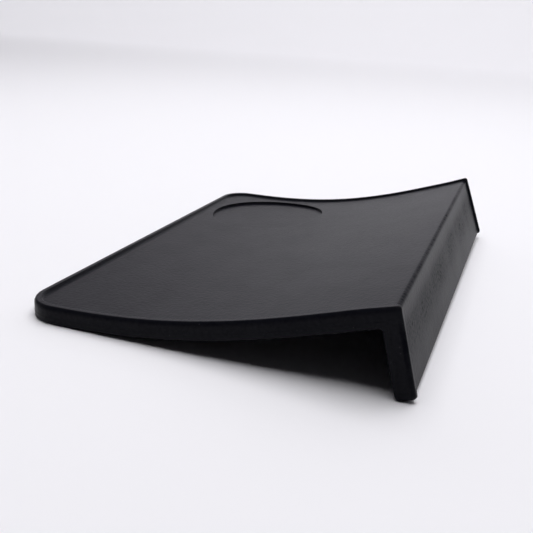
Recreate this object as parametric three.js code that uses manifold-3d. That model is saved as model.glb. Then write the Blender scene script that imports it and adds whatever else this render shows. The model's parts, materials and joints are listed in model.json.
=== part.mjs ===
// Counter-edge tamping mat: a flexible rubber sheet with a raised rim, a round seat for a
// tamper and a lip that hangs over the edge of a counter. It stands on its lip here, so the
// sheet sags in one smooth sweep from the fold down to its back edge.
//
// The mat is one moulding. It is divided across at its flex lines into strips that each
// bend about the middle of the sheet, and the lip bends about the fold.
//
// Millimetres, +X from the back edge to the lip, +Y along the fold, +Z up.

import * as THREE from 'three';
import { mergeVertices } from 'three/addons/utils/BufferGeometryUtils.js';
import Module from 'manifold-3d';

// ---------- driving dimensions ----------

const WIDTH = 200; // along the fold
const DEPTH = 143.5; // back edge to the lip's outer face, along the middle of the sheet
const LIP_HEIGHT = 31.5; // top of the fold to the foot, along the lip
const THICKNESS = 7; // over the rim, of sheet and lip alike
const RIM_WIDTH = 3;
const RIM_RISE = 1; // rim above the sheet
const CORNER_RADIUS = 13.5; // back corners, seen from above
const FOOT_RADIUS = 2; // the lip's two lower corners

const SEAT_DIAMETER = 60; // takes a 58 mm tamper base
const SEAT_DEPTH = 1.2;
const SEAT_FROM_BACK = 39; // centre, along the sheet
const SEAT_FROM_SIDE = 40; // centre, from the +Y side

const STRIP_LENGTH = 18; // each strip but the front one
const STRIP_NAMES = [
  'back_strip',
  'seat_back_strip',
  'seat_middle_strip',
  'seat_front_strip',
  'middle_strip',
  'rising_strip',
  'front_strip',
];
const FRONT_SLOPE = THREE.MathUtils.degToRad(17.5); // of the sheet at the fold

const GAP = 0.3; // between neighbouring solids
const TOP_RELIEF = THREE.MathUtils.degToRad(10); // each side of a flex line, to curl up
const UNDER_RELIEF = THREE.MathUtils.degToRad(3); // each side of a flex line, to flatten
const FOLD_TOP_RELIEF = THREE.MathUtils.degToRad(11); // each side of the fold's axis, to open
const FOLD_UNDER_RELIEF = THREE.MathUtils.degToRad(6); // each side of the fold's axis, to close

// ---------- derived sizes ----------

const SHEET = THICKNESS - RIM_RISE; // sheet thickness inside the rim
const UNDERSIDE = -SHEET / 2; // every height is measured from the middle of the sheet
const SHEET_TOP = SHEET / 2;
const RIM_TOP = SHEET_TOP + RIM_RISE;
const SEAT_FLOOR = SHEET_TOP - SEAT_DEPTH;
const LIP_BOTTOM = RIM_TOP - LIP_HEIGHT;
const FOLD_EDGE = GAP / 2 + Math.tan(FOLD_UNDER_RELIEF) * -UNDERSIDE; // lip's inner face to the fold's axis
const SHEET_END = DEPTH - THICKNESS - FOLD_EDGE; // the fold's axis
const CLEAR = 20; // how far a cutting tool runs past what it cuts
const ROUND_STEPS = 96; // facets of the seat's wall

const silicone = new THREE.MeshStandardMaterial({ color: 0x2b2b2d, roughness: 0.75, metalness: 0 });

// ---------- joining and cutting ----------

const wasm = await Module();
wasm.setup();

function toSolid(geometry) {
  const bare = geometry.clone();
  bare.deleteAttribute('normal');
  bare.deleteAttribute('uv');
  const merged = mergeVertices(bare, 1e-4);
  return new wasm.Manifold(new wasm.Mesh({
    numProp: 3,
    vertProperties: new Float32Array(merged.attributes.position.array),
    triVerts: new Uint32Array(merged.index.array),
  }));
}

function toMesh(name, solid) {
  const { numProp, vertProperties, triVerts } = solid.getMesh();
  const corners = new Float32Array(triVerts.length * 3);
  triVerts.forEach((vertex, i) => {
    corners.set(vertProperties.subarray(vertex * numProp, vertex * numProp + 3), i * 3);
  });
  const geometry = new THREE.BufferGeometry();
  geometry.setAttribute('position', new THREE.BufferAttribute(corners, 3));
  geometry.computeVertexNormals();
  const mesh = new THREE.Mesh(geometry, silicone.clone());
  mesh.name = name;
  return mesh;
}

function box(xMin, xMax, yMin, yMax, zMin, zMax) {
  const block = new THREE.BoxGeometry(xMax - xMin, yMax - yMin, zMax - zMin);
  return toSolid(block.translate((xMin + xMax) / 2, (yMin + yMax) / 2, (zMin + zMax) / 2));
}

// ---------- the sheet's strips ----------

// Slope of the sagging sheet at a distance from the back edge.
function slopeAt(distance) {
  const u = distance / DEPTH;
  return FRONT_SLOPE * (4 * u ** 2 - 3 * u ** 3);
}

// One end of a strip in side view: an edge on the flex line, cut back above and below it.
function endPoints(x, inward, topRelief, underRelief) {
  const edge = x + inward * GAP / 2;
  return [
    new THREE.Vector2(edge + inward * Math.tan(underRelief) * -UNDERSIDE, UNDERSIDE),
    new THREE.Vector2(edge, 0),
    new THREE.Vector2(edge + inward * Math.tan(topRelief) * RIM_TOP, RIM_TOP),
  ];
}

function squareEnd(x) {
  return [new THREE.Vector2(x, UNDERSIDE), new THREE.Vector2(x, RIM_TOP)];
}

// A side view drawn in X and Z, run across the whole width.
function acrossWidth(outline) {
  const body = new THREE.ExtrudeGeometry(new THREE.Shape(outline), { depth: WIDTH, bevelEnabled: false });
  return toSolid(body.rotateX(Math.PI / 2).translate(0, WIDTH / 2, 0));
}

// The mat's outline from above, with its two rounded back corners.
function planOutline() {
  const half = WIDTH / 2;
  const plan = new THREE.Shape();
  plan.moveTo(STRIP_LENGTH + CLEAR, -half);
  plan.lineTo(STRIP_LENGTH + CLEAR, half);
  plan.lineTo(CORNER_RADIUS, half);
  plan.absarc(CORNER_RADIUS, half - CORNER_RADIUS, CORNER_RADIUS, Math.PI / 2, Math.PI);
  plan.absarc(CORNER_RADIUS, CORNER_RADIUS - half, CORNER_RADIUS, Math.PI, Math.PI * 1.5);
  const prism = new THREE.ExtrudeGeometry(plan, { depth: 2 * CLEAR, bevelEnabled: false, curveSegments: 10 });
  return toSolid(prism.translate(0, 0, -CLEAR));
}

function seatCutter(stripStart) {
  const radius = SEAT_DIAMETER / 2;
  const disc = new THREE.CylinderGeometry(radius, radius, CLEAR, ROUND_STEPS).rotateX(Math.PI / 2);
  disc.translate(SEAT_FROM_BACK - stripStart, WIDTH / 2 - SEAT_FROM_SIDE, SEAT_FLOOR + CLEAR / 2);
  return toSolid(disc);
}

function makeStrip(name, index, start, length) {
  const isBack = index === 0;
  const isFront = index === STRIP_NAMES.length - 1;
  const backEnd = isBack ? squareEnd(0) : endPoints(0, 1, TOP_RELIEF, UNDER_RELIEF);
  const frontEnd = isFront
    ? endPoints(length, -1, FOLD_TOP_RELIEF, FOLD_UNDER_RELIEF)
    : endPoints(length, -1, TOP_RELIEF, UNDER_RELIEF);
  const fieldStart = isBack ? RIM_WIDTH : -CLEAR;
  const fieldSide = WIDTH / 2 - RIM_WIDTH;
  let strip = acrossWidth([...frontEnd, ...backEnd.reverse()]);
  strip = strip.subtract(box(fieldStart, length + CLEAR, -fieldSide, fieldSide, SHEET_TOP, CLEAR));
  strip = strip.subtract(seatCutter(start));
  if (isBack) strip = strip.intersect(planOutline());
  return toMesh(name, strip);
}

// ---------- the lip ----------

// The lip's face in Y and Z, with its two rounded lower corners, as deep as the lip is thick.
function lipOutline() {
  const half = WIDTH / 2;
  const face = new THREE.Shape();
  face.moveTo(half, CLEAR);
  face.lineTo(-half, CLEAR);
  face.absarc(FOOT_RADIUS - half, LIP_BOTTOM + FOOT_RADIUS, FOOT_RADIUS, Math.PI, Math.PI * 1.5);
  face.absarc(half - FOOT_RADIUS, LIP_BOTTOM + FOOT_RADIUS, FOOT_RADIUS, Math.PI * 1.5, Math.PI * 2);
  const prism = new THREE.ExtrudeGeometry(face, { depth: 2 * CLEAR, bevelEnabled: false, curveSegments: 6 });
  return toSolid(prism.rotateX(Math.PI / 2).rotateZ(Math.PI / 2).translate(-CLEAR, 0, 0));
}

function makeLip() {
  const innerFace = FOLD_EDGE;
  const outerFace = FOLD_EDGE + THICKNESS;
  const fieldSide = WIDTH / 2 - RIM_WIDTH;
  const outline = [
    ...endPoints(0, 1, FOLD_TOP_RELIEF, FOLD_UNDER_RELIEF),
    new THREE.Vector2(outerFace, RIM_TOP),
    new THREE.Vector2(outerFace, LIP_BOTTOM),
    new THREE.Vector2(innerFace, LIP_BOTTOM),
  ];
  const solid = acrossWidth(outline.reverse())
    .intersect(lipOutline())
    .subtract(box(-CLEAR, CLEAR, -fieldSide, fieldSide, SHEET_TOP, CLEAR))
    .subtract(box(outerFace - RIM_RISE, CLEAR, -fieldSide, fieldSide, -2 * LIP_HEIGHT, CLEAR));
  return toMesh('counter_lip', solid);
}

// ---------- assembly ----------

// Each strip hangs on the one behind it, turned up at the flex line between them.
const mat = new THREE.Group();
let holder = mat;
let start = 0;
let slope = 0;
STRIP_NAMES.forEach((name, index) => {
  const isFront = index === STRIP_NAMES.length - 1;
  const length = isFront ? SHEET_END - start : STRIP_LENGTH;
  const nextSlope = index === 0 ? 0 : slopeAt(start + length / 2);
  const strip = new THREE.Group();
  strip.position.x = index === 0 ? 0 : STRIP_LENGTH;
  strip.rotation.y = slope - nextSlope;
  strip.add(makeStrip(name, index, start, length));
  holder.add(strip);
  holder = strip;
  slope = nextSlope;
  start += length;
});

const lip = new THREE.Group();
lip.position.x = SHEET_END - STRIP_LENGTH * (STRIP_NAMES.length - 1);
lip.add(makeLip());
holder.add(lip);

// The origin is the middle of the mat's box, on the surface that it stands on.
const bounds = new THREE.Box3().setFromObject(mat, true);
const group = new THREE.Group();
mat.position.set(-(bounds.min.x + bounds.max.x) / 2, 0, -bounds.min.z);
group.add(mat);

export default group;
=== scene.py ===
"""Looks of the counter-edge tamping mat: one continuous rubber skin around the CAD strips.

The skin is built as the mat is moulded, with a flat sheet and a square lip, and is then bent to the
sag that it has when it stands on its lip. It is cut into one piece for each flex line, and the cuts
meet where the skin doesn't turn.
"""
import json
import math

import bmesh
import bpy
import numpy as np
from mathutils import Matrix, Vector

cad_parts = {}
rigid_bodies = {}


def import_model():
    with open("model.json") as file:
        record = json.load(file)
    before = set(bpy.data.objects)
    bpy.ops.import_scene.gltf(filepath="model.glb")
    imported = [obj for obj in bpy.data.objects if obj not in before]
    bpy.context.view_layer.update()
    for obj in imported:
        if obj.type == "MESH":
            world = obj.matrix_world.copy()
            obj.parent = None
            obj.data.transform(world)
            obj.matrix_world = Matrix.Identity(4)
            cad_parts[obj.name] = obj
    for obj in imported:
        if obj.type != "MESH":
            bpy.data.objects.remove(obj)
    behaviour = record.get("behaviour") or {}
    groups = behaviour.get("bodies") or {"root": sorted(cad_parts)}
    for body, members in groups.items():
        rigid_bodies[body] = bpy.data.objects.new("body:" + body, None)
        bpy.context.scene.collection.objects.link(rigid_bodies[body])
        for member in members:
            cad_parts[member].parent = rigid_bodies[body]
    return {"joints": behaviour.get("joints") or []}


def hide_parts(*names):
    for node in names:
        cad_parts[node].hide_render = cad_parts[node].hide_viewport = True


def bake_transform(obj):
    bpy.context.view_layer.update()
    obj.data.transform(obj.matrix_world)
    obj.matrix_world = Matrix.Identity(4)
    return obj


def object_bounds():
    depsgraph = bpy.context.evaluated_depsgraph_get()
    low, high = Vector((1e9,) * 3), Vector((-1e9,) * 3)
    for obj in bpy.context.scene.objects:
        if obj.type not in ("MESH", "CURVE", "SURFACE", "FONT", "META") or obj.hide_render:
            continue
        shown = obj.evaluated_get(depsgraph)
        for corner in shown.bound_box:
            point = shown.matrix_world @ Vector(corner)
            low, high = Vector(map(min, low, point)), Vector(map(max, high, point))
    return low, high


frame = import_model()
LOW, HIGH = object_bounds()

# ---------- sizes, in metres and radians ----------

MM = 0.001
WIDTH = HIGH.y - LOW.y
DEPTH = 143.5 * MM
LIP_HEIGHT = 31.5 * MM
THICKNESS = 7.0 * MM
RIM_RISE = 1.0 * MM
BACK_RADIUS = 13.5 * MM
FOOT_RADIUS = 2.2 * MM

UNDERSIDE = -(THICKNESS - RIM_RISE) / 2  # heights are from the middle of the sheet
RIM_TOP = UNDERSIDE + THICKNESS
LIP_BOTTOM = RIM_TOP - LIP_HEIGHT

EDGE_INSET = 1.2 * MM  # rounding of the rim's outer edge, seen from above
EDGE_DROP = 2.2 * MM  # and down its wall
UNDER_RADIUS = 0.9 * MM  # around the underside's edge
FOOT_ROUNDING = 1.1 * MM  # around the inner edge of the lip's foot
RIM_INNER_TOP = 2.5 * MM  # from the outline to where the rim starts to fall
RIM_INNER_FOOT = 3.5 * MM  # and to where it meets the sheet
RIM_WALL_EASE = 0.85  # under 1, the rim's inner wall is steeper at its top

RIM_FOLD_RADIUS = 1.2 * MM  # of the fold, over the rim
SHEET_FOLD_RADIUS = 1.6 * MM  # over the sheet
EDGE_FOLD_RADIUS = 0.5 * MM  # where the rim's rounding ends
INNER_FOLD_RADIUS = 1.0 * MM  # inside the fold

SEAT_RADIUS = 30.0 * MM
SEAT_DEPTH = 1.2 * MM
SEAT_WALL = 0.6 * MM  # width of its wall, seen from above
SEAT_CENTRE = np.array([39.0, 160.0]) * MM  # from the back edge and from the near side
SEAT_CORE = 12.0 * MM  # half the square of mesh in its middle

# The sag: slope of the sheet at the fold, and where the back of the sheet leaves the table.
# The near side and the far side sag a little differently, as rubber does.
NEAR_SAG = {"lift_off": -4.8 * MM, "slope": math.radians(16.8), "lean": math.radians(15.5)}
FAR_SAG = {"lift_off": 7.2 * MM, "slope": math.radians(18.6), "lean": math.radians(21.2)}

FOLD_MARGIN = 3.0 * MM  # of sheet and lip that belong to the fold's own mesh
FOLD_SPAN = 12.0 * MM  # of outline that stands for the fold

# The mesh. Steps are counts of faces in a row.
EDGE_BAND = 7.0 * MM  # of mesh along the outline, finer for the rim
CORNER_STEPS = 4  # along each side of the square left inside a back corner's band
GRID = (BACK_RADIUS - EDGE_BAND) / CORNER_STEPS  # size of the plain faces
EDGE_STEPS = 8  # over the rim's outer rounding
RIM_WALL_STEPS = 8  # down its inner wall
BAND_STEPS = 3  # from there to the plain grid
FOOT_STEPS = 14  # round each foot corner
FOLD_STEPS = 18
SEAT_STEPS = np.array([40, 42])  # along and across the rectangle of mesh round the seat
SEAT_BORDER_STEPS = 3  # from that rectangle to the seat's wall
SEAT_WALL_STEPS = 10
SEAT_WALL_SPAN = 1.3  # width of the wall's mesh against the width of the wall
SEAT_FLOOR_STEPS = 8  # from the wall to the square in the middle
TOUCHING = 1e-8  # points no further apart are one point
PROBE = 1e-6  # step over which the outline's direction is measured

FOLD_START = DEPTH - THICKNESS - FOLD_MARGIN
FOLD_END = FOLD_START + FOLD_SPAN
LIP_START = UNDERSIDE - FOLD_MARGIN
OUTLINE_LENGTH = FOLD_END + LIP_START - LIP_BOTTOM

# ---------- profiles ----------


def smooth(t):
    """From 0 to 1 with no kink at either end."""
    t = np.clip(t, 0, 1)
    return t * t * t * (t * (6 * t - 15) + 10)


def ramp(value, start, end):
    """From 0 at start to 1 at end, which may be the smaller of the two."""
    return smooth((value - start) / (end - start))


def edge_drop(distance, inset_length, drop):
    """How far an elliptical edge has fallen at a distance in from the outline."""
    short = np.clip(1 - distance / inset_length, 0, 1)
    return drop * (1 - np.sqrt(1 - short**2))


def inset(p, q, foot=True):
    """Distance in from the mat's outline and its rounded corners. Without the foot, the lip has no end."""
    side = np.minimum(q, WIDTH - q)
    end = OUTLINE_LENGTH - p if foot else np.full_like(p, np.inf)
    at_back = p < OUTLINE_LENGTH / 2
    ahead = np.where(at_back, p, end)
    radius = np.where(at_back, BACK_RADIUS, FOOT_RADIUS)
    in_corner = (ahead < radius) & (side < radius)
    around = radius - np.hypot(radius - ahead, radius - side)
    return np.where(in_corner, around, np.minimum(ahead, side))


def section(p, offset, radius):
    """The mat's side view at a depth under the rim's top, as moulded: x, z and the outward direction."""
    turn = np.clip((p - FOLD_START) / FOLD_SPAN * 3, 0, 3)
    before = np.clip(turn, 0, 1)
    angle = (1 - np.clip(turn - 1, 0, 1)) * math.pi / 2
    after = np.clip(turn - 2, 0, 1)
    corner_x, corner_z = DEPTH - offset - radius, RIM_TOP - offset - radius
    x = np.minimum(p, FOLD_START) + before * (corner_x - FOLD_START) + radius * np.cos(angle)
    z = corner_z + radius * np.sin(angle) + after * (LIP_START - corner_z)
    z = z - np.maximum(p - FOLD_END, 0)
    return np.stack([x, z], axis=1), np.stack([np.cos(angle), np.sin(angle)], axis=1)


def upper_surface(p, q):
    """Points of the top of the sheet and the outer face of the lip, as moulded."""
    top, outward = section(p, 0, RIM_FOLD_RADIUS)
    field, _ = section(p, RIM_RISE, SHEET_FOLD_RADIUS)
    from_rim = inset(p, q, foot=False)
    down_rim = np.clip((from_rim - RIM_INNER_TOP) / (RIM_INNER_FOOT - RIM_INNER_TOP), 0, 1)
    share = smooth(down_rim**RIM_WALL_EASE)
    from_seat = np.hypot(p - SEAT_CENTRE[0], q - SEAT_CENTRE[1])
    seat_fall = SEAT_DEPTH * smooth((SEAT_RADIUS + SEAT_WALL / 2 - from_seat) / SEAT_WALL)
    edge, _ = section(p, EDGE_DROP, EDGE_FOLD_RADIUS)
    rounding = edge_drop(inset(p, q), EDGE_INSET, 1)
    xz = top + share[:, None] * (field - top) + rounding[:, None] * (edge - top)
    xz = xz - seat_fall[:, None] * outward
    return np.column_stack([xz[:, 0], q, xz[:, 1]])


def lower_surface(p, q):
    """Points of the underside and the lip's inner face, as moulded."""
    xz, outward = section(p, THICKNESS, INNER_FOLD_RADIUS)
    near_foot = smooth((p - FOLD_END) / (OUTLINE_LENGTH - FOLD_END))
    radius = UNDER_RADIUS + near_foot * (FOOT_ROUNDING - UNDER_RADIUS)
    xz = xz + edge_drop(inset(p, q), radius, radius)[:, None] * outward
    return np.column_stack([xz[:, 0], q, xz[:, 1]])


# ---------- the flat layout of the mesh ----------


def patch(points):
    """The faces of a grid of flat points, all turning the same way."""
    faces = np.stack([points[:-1, :-1], points[1:, :-1], points[1:, 1:], points[:-1, 1:]], axis=2)
    faces = faces.reshape(-1, 4, 2)
    following = np.roll(faces, -1, axis=1)
    area = (faces[..., 0] * following[..., 1] - faces[..., 1] * following[..., 0]).sum()
    return faces if area > 0 else faces[:, ::-1]


RIM_OFFSETS = np.concatenate([
    EDGE_INSET * (1 - np.cos(np.linspace(0, math.pi / 2, EDGE_STEPS + 1))),
    np.linspace(RIM_INNER_TOP, RIM_INNER_FOOT, RIM_WALL_STEPS + 1),
])
BAND_OFFSETS = np.concatenate([RIM_OFFSETS, np.linspace(RIM_INNER_FOOT, EDGE_BAND, BAND_STEPS + 1)[1:]])
FOOT_OFFSETS = np.append(RIM_OFFSETS[RIM_OFFSETS < FOOT_RADIUS], FOOT_RADIUS)

SEAT_LOW = np.array([EDGE_BAND, WIDTH - EDGE_BAND - GRID * SEAT_STEPS[1]])
SEAT_HIGH = SEAT_LOW + GRID * SEAT_STEPS


def spaced(start, end):
    """Evenly spaced lines, about as far apart as the plain grid's."""
    return np.linspace(start, end, max(1, round((end - start) / GRID)) + 1)


def layout_lines():
    """Where the plain grid's lines lie, along the mat's outline and across it."""
    p = np.concatenate([
        BAND_OFFSETS,
        spaced(SEAT_LOW[0], SEAT_HIGH[0]),
        spaced(SEAT_HIGH[0], FOLD_START),
        np.linspace(FOLD_START, FOLD_END, FOLD_STEPS + 1),
        spaced(FOLD_END, OUTLINE_LENGTH - FOOT_RADIUS),
        OUTLINE_LENGTH - FOOT_OFFSETS,
    ])
    q = np.concatenate([
        BAND_OFFSETS,
        spaced(EDGE_BAND, BACK_RADIUS),
        spaced(BACK_RADIUS, SEAT_LOW[1]),
        spaced(SEAT_LOW[1], SEAT_HIGH[1]),
        WIDTH - BAND_OFFSETS,
    ])
    return np.unique(p.round(9)), np.unique(q.round(9))


def back_corner_patch(aside):
    """The band round a back corner, from its arc to the square that the plain grid fills."""
    along = np.linspace(0, 1, CORNER_STEPS + 1)
    square = np.concatenate([np.stack([np.ones_like(along), along], axis=1),
                             np.stack([1 - along[1:], np.ones(CORNER_STEPS)], axis=1)])
    angles = np.linspace(0, math.pi / 2, len(square))
    arc = np.stack([np.cos(angles), np.sin(angles)], axis=1)
    rings = [arc * (BACK_RADIUS - offset) for offset in RIM_OFFSETS]
    innermost, core = rings[-1], square * (BACK_RADIUS - EDGE_BAND)
    rings += [innermost * (1 - t) + core * t for t in np.linspace(0, 1, BAND_STEPS + 1)[1:]]
    centre = np.array([BACK_RADIUS, WIDTH / 2 + aside * (WIDTH / 2 - BACK_RADIUS)])
    return patch(centre + np.stack(rings) * [-1, aside])


def foot_corner_patch(aside):
    """A foot corner, as rings around its centre."""
    angles = np.linspace(0, math.pi / 2, FOOT_STEPS + 1)
    arc = np.stack([np.cos(angles), np.sin(angles)], axis=1)
    rings = np.stack([arc * (FOOT_RADIUS - offset) for offset in FOOT_OFFSETS])
    centre = np.array([OUTLINE_LENGTH - FOOT_RADIUS, WIDTH / 2 + aside * (WIDTH / 2 - FOOT_RADIUS)])
    return patch(centre + rings * [1, aside])


def seat_patches():
    """Rings around the round seat, from a rectangle outside it to a square in its middle."""
    wall = SEAT_RADIUS + np.linspace(0.5, -0.5, SEAT_WALL_STEPS + 1) * SEAT_WALL_SPAN * SEAT_WALL
    middle, half = (SEAT_LOW + SEAT_HIGH) / 2, (SEAT_HIGH - SEAT_LOW) / 2
    for quarter in range(4):
        cos, sin = round(math.cos(quarter * math.pi / 2)), round(math.sin(quarter * math.pi / 2))
        along = np.linspace(-1, 1, SEAT_STEPS[1 - quarter % 2] + 1)
        square = np.stack([cos - sin * along, sin + cos * along], axis=1)
        angles = quarter * math.pi / 2 + along * math.pi / 4
        circle = np.stack([np.cos(angles), np.sin(angles)], axis=1)
        border, core = middle + square * half, SEAT_CENTRE + square * SEAT_CORE
        outer, inner = SEAT_CENTRE + circle * wall[0], SEAT_CENTRE + circle * wall[-1]
        outside = [border * (1 - t) + outer * t for t in np.linspace(0, 1, SEAT_BORDER_STEPS + 1)]
        inside = [inner * (1 - t) + core * t for t in np.linspace(0, 1, SEAT_FLOOR_STEPS + 1)]
        walls = [SEAT_CENTRE + circle * radius for radius in wall[1:-1]]
        yield patch(np.stack(outside + walls + inside))
    core_p, core_q = (np.linspace(-SEAT_CORE, SEAT_CORE, steps + 1) for steps in SEAT_STEPS)
    yield patch(SEAT_CENTRE + np.stack(np.meshgrid(core_p, core_q, indexing="ij"), axis=2))


def field_patch():
    """The plain grid, with the corners and the seat left open."""
    p, q = layout_lines()
    faces = patch(np.stack(np.meshgrid(p, q, indexing="ij"), axis=2))
    middle = faces.mean(axis=1)
    side = np.minimum(middle[:, 1], WIDTH - middle[:, 1])
    at_back = (np.maximum(middle[:, 0], side) < BACK_RADIUS) & (np.minimum(middle[:, 0], side) < EDGE_BAND)
    at_foot = (middle[:, 0] > OUTLINE_LENGTH - FOOT_RADIUS) & (side < FOOT_RADIUS)
    at_seat = ((middle > SEAT_LOW) & (middle < SEAT_HIGH)).all(axis=1)
    return faces[~(at_back | at_foot | at_seat)]


def flat_layout():
    """Flat points, and the faces between them as tuples of point numbers."""
    corners = [back_corner_patch(aside) for aside in (-1, 1)]
    corners += [foot_corner_patch(aside) for aside in (-1, 1)]
    corners = np.concatenate([field_patch(), *corners, *seat_patches()])
    points, numbers = np.unique(corners.reshape(-1, 2).round(8), axis=0, return_inverse=True)
    faces = [tuple(dict.fromkeys(face)) for face in numbers.reshape(-1, 4).tolist()]
    return points, [face for face in faces if len(face) > 2]


# ---------- the moulded mat ----------

# Rows down the outer wall: share of its height, and how far it stands out there. The mould's
# parting line leaves a faint ridge.
WALL_ROWS = [(0.15, 0), (0.3, 0), (0.45, 0), (0.58, 0), (0.61, 0.1 * MM), (0.64, 0), (0.8, 0)]


def outline_edges(faces):
    """The edges that only one face has, in that face's direction."""
    edges = {(a, b) for face in faces for a, b in zip(face, face[1:] + face[:1])}
    return [(a, b) for a, b in edges if (b, a) not in edges]


def moulded_mat():
    """Vertices and faces of the closed mat, with its sheet flat."""
    flat, faces = flat_layout()
    p, q = flat.T
    upper, lower = upper_surface(p, q), lower_surface(p, q)
    count = len(flat)
    vertices = [upper, lower]
    solid = list(faces) + [tuple(count + i for i in reversed(face)) for face in faces]
    edges = outline_edges(faces)
    rim = sorted({a for a, _ in edges})
    place = {number: i for i, number in enumerate(rim)}
    slope_p = (inset(p[rim] + PROBE, q[rim]) - inset(p[rim] - PROBE, q[rim])) / (2 * PROBE)
    slope_q = (inset(p[rim], q[rim] + PROBE) - inset(p[rim], q[rim] - PROBE)) / (2 * PROBE)
    _, outward = section(p[rim], 0, RIM_FOLD_RADIUS)
    out = -np.column_stack([slope_p * outward[:, 1], slope_q, -slope_p * outward[:, 0]])
    rows = [lambda i: i]
    for k, (share, stands_out) in enumerate(WALL_ROWS):
        vertices.append(upper[rim] * (1 - share) + lower[rim] * share + stands_out * out)
        rows.append(lambda i, start=2 * count + k * len(rim): start + place[i])
    rows.append(lambda i: count + i)
    for a, b in edges:
        for above, below in zip(rows, rows[1:]):
            solid.append((above(a), below(a), below(b), above(b)))
    return np.concatenate(vertices), solid


# ---------- the sag ----------

FLEX_LINES = [Vector(joint["pos_m"]) for joint in frame["joints"]]
BACK_EDGE = Vector((LOW.x, 0, FLEX_LINES[0].z))
FLEX_AT = np.cumsum([(b - a).length for a, b in zip([BACK_EDGE] + FLEX_LINES, FLEX_LINES)])
LIP_AXIS = FLEX_AT[-1]
CUTS = [(a + b) / 2 for a, b in zip(FLEX_AT, FLEX_AT[1:])]
FOLD_ZONE = 11.0 * MM  # of sheet and of lip, either side of the fold's axis, that bend as the lip moves
LEAN_ZONE = 8.0 * MM  # of the sheet, next to the fold, that takes up the lip's own lean


def sag_curve(lift_off, slope, lean):
    """The middle of the sheet in side view, every tenth of a millimetre up to the fold: x, z and slope."""
    s = np.linspace(0, LIP_AXIS, round(LIP_AXIS / (0.1 * MM)) + 1)
    u = np.clip((s - lift_off) / (DEPTH - lift_off), 0, 1)
    turn = slope * (4 * u**2 - 3 * u**3)
    turn = turn + (lean - turn) * smooth((s - LIP_AXIS + LEAN_ZONE) / LEAN_ZONE)
    middle = (turn[1:] + turn[:-1]) / 2
    step = s[1]
    x = np.concatenate([[0], np.cumsum(np.cos(middle) * step)])
    z = np.concatenate([[0], np.cumsum(np.sin(middle) * step)])
    return s, np.stack([x, z, turn], axis=1)


def bent(points):
    """Moulded points, where they are once the sheet has sagged, in the shared frame."""
    share = (points[:, 1] / WIDTH)[:, None]
    along = np.clip(points[:, 0], 0, LIP_AXIS)
    curves = []
    for sag in (NEAR_SAG, FAR_SAG):
        s, curve = sag_curve(**sag)
        curves.append(np.stack([np.interp(along, s, column) for column in curve.T], axis=1))
    x, z, turn = (curves[0] * (1 - share) + curves[1] * share).T
    ahead, up = points[:, 0] - along, points[:, 2]
    x = x + ahead * np.cos(turn) - up * np.sin(turn)
    z = z + ahead * np.sin(turn) + up * np.cos(turn)
    return np.column_stack([BACK_EDGE.x + x, LOW.y + points[:, 1], BACK_EDGE.z + z])


# ---------- the skin's pieces ----------


def cut_mat():
    """The mat as moulded, with an edge all round it at each cut."""
    vertices, faces = moulded_mat()
    mat = bmesh.new()
    corners = [mat.verts.new(point) for point in vertices]
    for face in faces:
        mat.faces.new([corners[i] for i in face])
    for cut in CUTS:
        everything = mat.verts[:] + mat.edges[:] + mat.faces[:]
        bmesh.ops.bisect_plane(mat, geom=everything, dist=TOUCHING, plane_co=(cut, 0, 0), plane_no=(1, 0, 0))
    mat.verts.index_update()
    return mat


def vertex_normals(points, faces):
    """Directions out of the surface, in which large faces count more, so that flats stay flat."""
    normals = np.zeros_like(points)
    for face in faces:
        corners = points[face]
        area = np.cross(corners, np.roll(corners, -1, axis=0)).sum(axis=0)
        normals[face] += area
    return normals / np.linalg.norm(normals, axis=1)[:, None]


PAINTED_HIGHLIGHT_FADE = 0.2 * MM  # either side of where the painted highlight of the crest or of the inner wall ends
WALL_FADE = 0.3 * MM  # over which the painted highlight on the inner wall starts
OUTER_SKIN = 0.5 * MM  # how deep under the lip's face a point still counts as on it
# Painted shade along the fold: a dark line painted into the sheen where the sheet turns down into the lip.
CREASE_INSET = 0.4 * MM  # from the lip's face back to the middle of the crease
CREASE_CORE = 0.4 * MM  # around which it is darkest
CREASE_EDGE = 1.45 * MM  # and where it ends
CREASE_WANES_FROM = 0.7 * WIDTH  # from the near side, past which the crease gets weaker
CREASE_LOSS = 0.5  # at the far side
# Painted shade on the lip's face: how much darker its sheen is painted between two depths below the rim's
# top.
LIP_PAINTED_SHADE = [(1.0, 2.0 * MM, 11.0 * MM), (-0.6, 13.0 * MM, 27.0 * MM)]


def painted_sheen(moulded):
    """Painted light on the mat: a painted highlight along the rim's crest, painted shade along the fold and
    down the lip's face, and a painted highlight down the rim's inner wall.
    """
    x, y, z = moulded.T
    on_top = (z > (UNDERSIDE + RIM_TOP) / 2) | (x > DEPTH - RIM_RISE - OUTER_SKIN)
    from_edge = inset(np.minimum(x, DEPTH / 2), y, foot=False)
    # A painted highlight along the rim's crest.
    crest = ramp(from_edge, 0, EDGE_INSET) * ramp(from_edge, RIM_INNER_TOP + PAINTED_HIGHLIGHT_FADE, RIM_INNER_TOP)
    # A painted highlight down the rim's inner wall.
    wall = ramp(from_edge, RIM_INNER_TOP, RIM_INNER_TOP + WALL_FADE)
    wall = wall * ramp(from_edge, RIM_INNER_FOOT + PAINTED_HIGHLIGHT_FADE, RIM_INNER_FOOT - PAINTED_HIGHLIGHT_FADE)
    # Painted shade along the fold's crease, weaker towards the far side.
    from_crease = np.hypot(x - (DEPTH - RIM_RISE - CREASE_INSET), z - (RIM_TOP - RIM_RISE))
    crease = ramp(from_crease, CREASE_EDGE, CREASE_CORE) * ramp(from_edge, RIM_INNER_TOP, RIM_INNER_FOOT)
    crease = crease * (1 - CREASE_LOSS * ramp(y, CREASE_WANES_FROM, WIDTH))
    # Painted shade down the lip's face.
    lip_face = sum(amount * ramp(RIM_TOP - z, start, end) for amount, start, end in LIP_PAINTED_SHADE)
    return np.stack([crest, np.maximum(crease, lip_face), wall], axis=1) * on_top[:, None]


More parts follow.
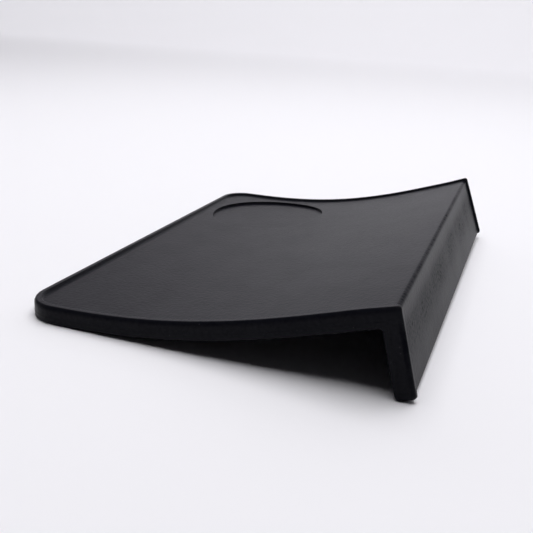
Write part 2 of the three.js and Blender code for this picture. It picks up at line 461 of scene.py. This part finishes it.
def closed_piece(name, points, faces):
    """A mesh of some of the mat's faces, with its open ends capped."""
    piece = bmesh.new()
    used = sorted({i for face in faces for i in face})
    corners = {i: piece.verts.new(points[i]) for i in used}
    for face in faces:
        piece.faces.new([corners[i] for i in face]).smooth = True
    open_edges = [edge for edge in piece.edges if edge.is_boundary]
    caps = bmesh.ops.holes_fill(piece, edges=open_edges, sides=0)["faces"]
    for cap in caps:
        cap.smooth = False
    bmesh.ops.triangulate(piece, faces=caps)
    mesh = bpy.data.meshes.new(name)
    piece.to_mesh(mesh)
    piece.free()
    return mesh, used


def skin_pieces():
    """One closed piece of skin for each flex line, in order from the back edge."""
    mat = cut_mat()
    moulded = np.array([vertex.co for vertex in mat.verts])
    faces = [[vertex.index for vertex in face.verts] for face in mat.faces]
    mat.free()
    points = bent(moulded)
    normals = vertex_normals(points, faces)
    belongs = np.searchsorted(CUTS, [moulded[face, 0].mean() for face in faces])
    pieces = []
    for number, joint in enumerate(frame["joints"]):
        name = joint["name"].replace("_flex", "_skin")
        own = [face for face, at in zip(faces, belongs) if at == number]
        mesh, used = closed_piece(name, points, own)
        # The second attribute holds painted light: a painted highlight on the rim's crest and inner wall,
        # and painted shade along the fold and down the lip's face.
        for label, values in (("moulded", moulded[used]), ("painted_sheen", painted_sheen(moulded[used]))):
            attribute = mesh.attributes.new(label, "FLOAT_VECTOR", "POINT")
            attribute.data.foreach_set("vector", values.astype(np.float32).ravel())
        corner_normals = np.zeros((len(mesh.loops), 3))
        for polygon in mesh.polygons:
            for loop in polygon.loop_indices:
                vertex = mesh.loops[loop].vertex_index
                corner_normals[loop] = normals[used[vertex]] if polygon.use_smooth else polygon.normal
        mesh.normals_split_custom_set(corner_normals.tolist())
        piece = bpy.data.objects.new(name, mesh)
        bpy.context.scene.collection.objects.link(piece)
        pieces.append(piece)
    return pieces


# ---------- materials ----------


def add_node(tree, kind, inputs=None, **settings):
    """A node with its sockets set to values or linked to other sockets."""
    node = tree.nodes.new(kind)
    for name, value in settings.items():
        setattr(node, name, value)
    for name, value in (inputs or {}).items():
        if isinstance(value, bpy.types.NodeSocket):
            tree.links.new(value, node.inputs[name])
        else:
            node.inputs[name].default_value = value
    return node


def mapped(tree, value, low, high):
    """A socket that follows a 0 to 1 value from low to high."""
    node = add_node(tree, "ShaderNodeMapRange", {"Value": value, "To Min": low, "To Max": high})
    return node.outputs["Result"]


def added(tree, base, value, amount, clamp=False):
    """A socket that is base plus an amount of value."""
    inputs = {0: value, 1: amount, 2: base}
    return add_node(tree, "ShaderNodeMath", inputs, operation="MULTIPLY_ADD", use_clamp=clamp).outputs[0]


RUBBER = (0.0036, 0.0038, 0.0062, 1)
DUST = (0.021, 0.019, 0.023, 1)
DUST_SCALE = 260  # specks per metre
SPECK_CORE, SPECK_EDGE = 0.03, 0.09  # of the distance between specks
CLOUD_SCALE = 60
CLOUD_SHEEN = (0.003, 0.045)  # specular level, from the dullest cloud to the brightest
GRAIN_SCALE = 750
GRAIN_SHEEN = 0.09
GRAIN_ROUGHNESS = (0.26, 0.46)
GRAIN_HEIGHT = 0.08 * MM
# Specular levels painted on top of the rubber's own: a painted highlight on the crest and on the rim's inner
# wall, painted shade along the fold and the lip's face.
CREST_PAINTED_HIGHLIGHT = 0.02
FOLD_AND_LIP_PAINTED_SHADE = -0.048
WALL_PAINTED_HIGHLIGHT = 0.05


def silicone_material():
    """Matte black silicone: fine mould grain, a cloudy bloom, dust, painted highlights on the rim and
    painted shade along the fold and the lip's face.
    """
    material = bpy.data.materials.new("silicone_black")
    material.use_nodes = True
    tree = material.node_tree
    shader = tree.nodes["Principled BSDF"]
    place = add_node(tree, "ShaderNodeAttribute", attribute_name="moulded").outputs["Vector"]
    painted_sheen_masks = add_node(tree, "ShaderNodeAttribute", attribute_name="painted_sheen").outputs["Vector"]
    parts = add_node(tree, "ShaderNodeSeparateXYZ", {"Vector": painted_sheen_masks})
    crest, fold, wall = (parts.outputs[axis] for axis in "XYZ")

    cloud = add_node(tree, "ShaderNodeTexNoise", {
        "Vector": place, "Scale": CLOUD_SCALE, "Detail": 4, "Roughness": 0.6}).outputs["Fac"]
    grain = add_node(tree, "ShaderNodeTexNoise", {
        "Vector": place, "Scale": GRAIN_SCALE, "Detail": 3}).outputs["Fac"]
    speck = add_node(tree, "ShaderNodeTexVoronoi", {"Vector": place, "Scale": DUST_SCALE})
    dust = add_node(tree, "ShaderNodeMapRange", {
        "Value": speck.outputs["Distance"], "From Min": SPECK_CORE, "From Max": SPECK_EDGE,
        "To Min": 1.0, "To Max": 0.0})

    sheen = added(tree, mapped(tree, cloud, *CLOUD_SHEEN), grain, GRAIN_SHEEN)
    # Painted highlights and painted shade, added to the specular level.
    sheen = added(tree, sheen, crest, CREST_PAINTED_HIGHLIGHT)
    sheen = added(tree, sheen, fold, FOLD_AND_LIP_PAINTED_SHADE)
    sheen = added(tree, sheen, wall, WALL_PAINTED_HIGHLIGHT, clamp=True)
    tree.links.new(sheen, shader.inputs["Specular IOR Level"])
    tree.links.new(mapped(tree, grain, *GRAIN_ROUGHNESS), shader.inputs["Roughness"])
    colour = add_node(tree, "ShaderNodeMixRGB", {
        "Fac": dust.outputs["Result"], "Color1": RUBBER, "Color2": DUST})
    tree.links.new(colour.outputs["Color"], shader.inputs["Base Color"])
    bump = add_node(tree, "ShaderNodeBump", {"Height": grain, "Strength": 1.0, "Distance": GRAIN_HEIGHT})
    tree.links.new(bump.outputs["Normal"], shader.inputs["Normal"])
    return material


BACKDROP_COLOUR = (0.83, 0.82, 0.86, 1)


def backdrop_material():
    """Matte off-white paper."""
    material = bpy.data.materials.new("studio_backdrop")
    material.use_nodes = True
    shader = material.node_tree.nodes["Principled BSDF"]
    shader.inputs["Base Color"].default_value = BACKDROP_COLOUR
    shader.inputs["Roughness"].default_value = 0.8
    shader.inputs["Specular IOR Level"].default_value = 0.1
    return material


# ---------- the skin, with the CAD parts that it covers hidden ---

silicone = silicone_material()
skin = skin_pieces()
# The zone over which each piece would bend: from its back cut to its front cut, and for the last one across
# the fold's corner. The zones are listed here but nothing uses them.
zones = [[(begin, 0), (finish, 0)] for begin, finish in zip([FLEX_AT[0] / 2, *CUTS], CUTS)]
zones.append([(LIP_AXIS - FOLD_ZONE, 0), (LIP_AXIS, -FOLD_ZONE)])
for piece, joint, zone in zip(skin, frame["joints"], zones):
    piece.data.materials.append(silicone)
    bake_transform(piece)
    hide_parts(joint["parent"])
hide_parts(frame["joints"][-1]["child"])

# ---------- studio ----------

FLOOR_HALF_WIDTH = 3.0
FLOOR_FRONT = -2.0
COVE_START = 1.7
COVE_RADIUS = 0.8
COVE_TOP = 2.2
COVE_STEPS = 24

# Lights: where each is, the point that it faces, its size and its power.
SOFTBOXES = {
    "overhead": ((0, 0.1, 1.3), (0, 0, 0), (1.4, 1.3), 21.5),
    "backdrop_light": ((-0.7, 1.75, 1.3), (-0.7, 1.75, 0), (6.0, 1.8), 27),
    "cove_light": ((-0.7, 1.9, 0.9), (-0.7, 2.3, 0), (6.0, 0.6), 11),
}
SIDE_CARDS = {
    "back_card": ((-0.6, 1.4, 0.75), (0, 0, 0), (3.0, 0.9), 4.7),
    "right_card": ((1.5, 0, 0.75), (0, 0, 0), (3.0, 0.9), 3.0),
    "front_card": ((0.4, -1.5, 0.75), (0, 0, 0), (3.0, 0.9), 3.0),
    "left_card": ((-1.5, 0, 0.75), (0, 0, 0), (3.0, 0.9), 3.0),
}
SIDE_CARD_TINT = (0.97, 0.92, 1.0)
TOP_CARD = ((0, 0, 1.25), (0, 0, 0), (1.4, 1.3), 4.0)
WORLD_COLOUR = (0.9, 0.9, 0.95)
WORLD_STRENGTH = 0.03


def add_backdrop():
    """A seamless sheet: the floor, which curves up into a wall well behind the mat."""
    angles = np.linspace(0, math.pi / 2, COVE_STEPS + 1)
    profile = [(FLOOR_FRONT, 0)]
    profile += [(COVE_START + COVE_RADIUS * math.sin(a), COVE_RADIUS * (1 - math.cos(a))) for a in angles]
    profile += [(COVE_START + COVE_RADIUS, COVE_TOP)]
    vertices = [(side * FLOOR_HALF_WIDTH, y, z) for y, z in profile for side in (-1, 1)]
    faces = [(2 * i, 2 * i + 1, 2 * i + 3, 2 * i + 2) for i in range(len(profile) - 1)]
    mesh = bpy.data.meshes.new("backdrop")
    mesh.from_pydata(vertices, [], faces)
    mesh.polygons.foreach_set("use_smooth", [True] * len(faces))
    mesh.materials.append(backdrop_material())
    backdrop = bpy.data.objects.new("backdrop", mesh)
    backdrop.location.z = LOW.z
    bpy.context.scene.collection.objects.link(backdrop)


def add_area_light(name, place, target, size, power):
    lamp = bpy.data.lights.new(name, "AREA")
    lamp.shape = "RECTANGLE"
    lamp.size, lamp.size_y = size
    lamp.energy = power
    light = bpy.data.objects.new(name, lamp)
    light.location = place
    light.rotation_euler = (Vector(target) - Vector(place)).to_track_quat("-Z", "Y").to_euler()
    light.visible_camera = False
    bpy.context.scene.collection.objects.link(light)
    return light


def add_lights():
    """Softboxes that light the stage, and cards that only the mat's satin surface mirrors."""
    for name, settings in SOFTBOXES.items():
        add_area_light(name, *settings).visible_glossy = False
    for name, settings in SIDE_CARDS.items():
        card = add_area_light(name, *settings)
        card.visible_diffuse = False
        card.data.color = SIDE_CARD_TINT
    add_area_light("top_card", *TOP_CARD).visible_diffuse = False


def add_world(colour, strength):
    world = bpy.data.worlds.new("studio")
    world.use_nodes = True
    background = world.node_tree.nodes["Background"]
    background.inputs["Color"].default_value = (*colour, 1)
    background.inputs["Strength"].default_value = strength
    bpy.context.scene.world = world


def add_camera(place, turn, tilt, roll, lens):
    """A camera that looks along +Y when turn is 0, tilted down, and rolled about its view."""
    forward = Vector((math.sin(turn) * math.cos(tilt), math.cos(turn) * math.cos(tilt), -math.sin(tilt)))
    right = Vector((math.cos(turn), -math.sin(turn), 0))
    up = right.cross(forward)
    rolled_right = right * math.cos(roll) + up * math.sin(roll)
    rolled_up = up * math.cos(roll) - right * math.sin(roll)
    data = bpy.data.cameras.new("camera")
    data.lens = lens
    data.clip_start = 0.01
    camera = bpy.data.objects.new("camera", data)
    axes = Matrix([rolled_right, rolled_up, -forward]).transposed()
    camera.matrix_world = Matrix.Translation(place) @ axes.to_4x4()
    bpy.context.scene.collection.objects.link(camera)
    bpy.context.scene.camera = camera


add_backdrop()
add_lights()
add_world(WORLD_COLOUR, WORLD_STRENGTH)
bpy.context.scene.view_settings.view_transform = "Standard"
add_camera(
    place=(0.0931, -0.2996, 0.1125),
    turn=math.radians(-19.58),
    tilt=math.radians(19.61),
    roll=math.radians(3.0),
    lens=48.48,
)
